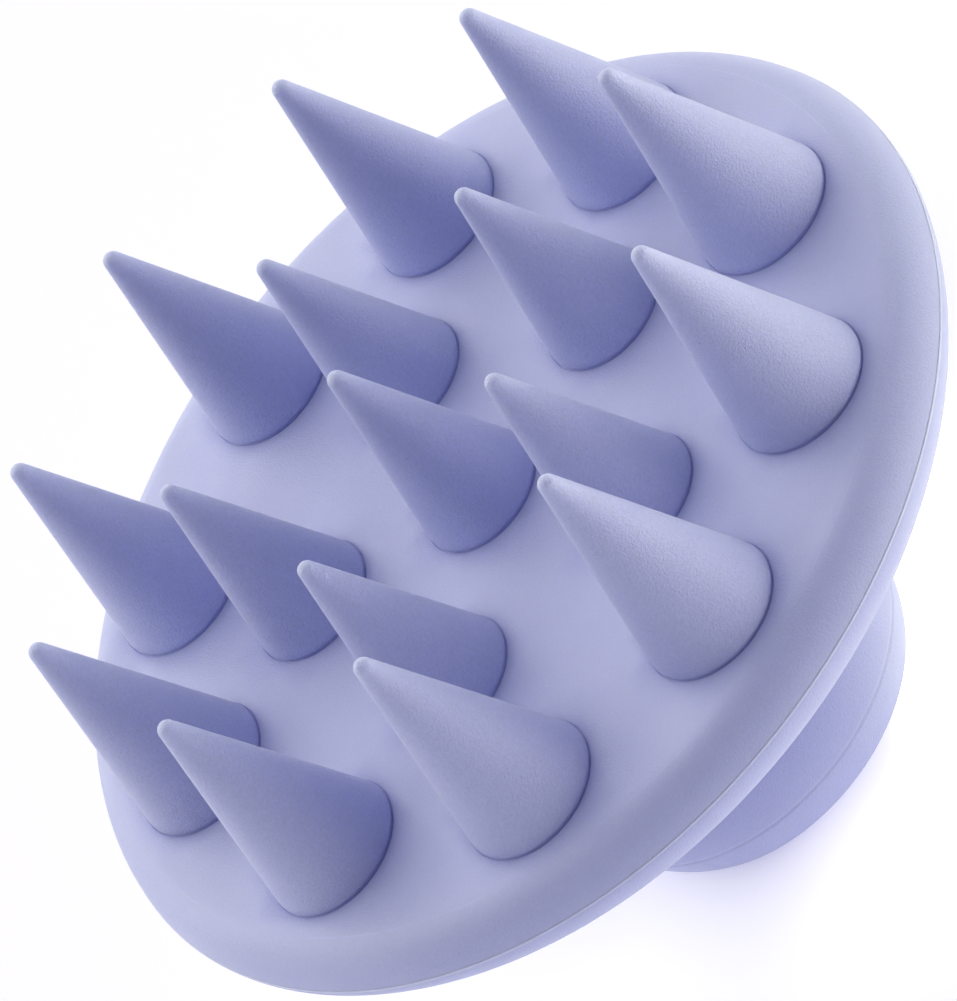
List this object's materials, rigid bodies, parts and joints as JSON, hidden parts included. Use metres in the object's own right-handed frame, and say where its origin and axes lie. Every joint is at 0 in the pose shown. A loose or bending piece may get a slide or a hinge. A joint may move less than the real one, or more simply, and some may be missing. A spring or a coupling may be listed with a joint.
{
  "type": "curry comb",
  "caption": "Round palm-held silicone curry comb with conical teeth on a rounded disc and a mushroom-shaped knob handle.",
  "frame": {"origin": "centre of the flat end of the knob, on which the comb stands", "axes": "+Z along the comb's axis from the knob to the teeth; +X through one tooth of the outer ring; the comb is mirror-symmetric about the YZ plane"},
  "size_m": [0.08, 0.08, 0.0543],
  "materials": {
    "silicone": "matt moulded silicone, lilac",
    "cap_plastic": "matt soft-touch, lilac, matched to the silicone",
    "core_plastic": "natural moulded polypropylene",
    "screw_steel": "plain stainless steel"
  },
  "bodies": {
    "root": {"bristle_pad": "silicone", "back_sleeve": "silicone", "knob_cap": "cap_plastic", "core_plate": "core_plastic", "handle_core": "core_plastic", "plate_screws": "screw_steel", "handle_screw": "screw_steel", "screw_washer": "screw_steel"}
  },
  "joints": []
}
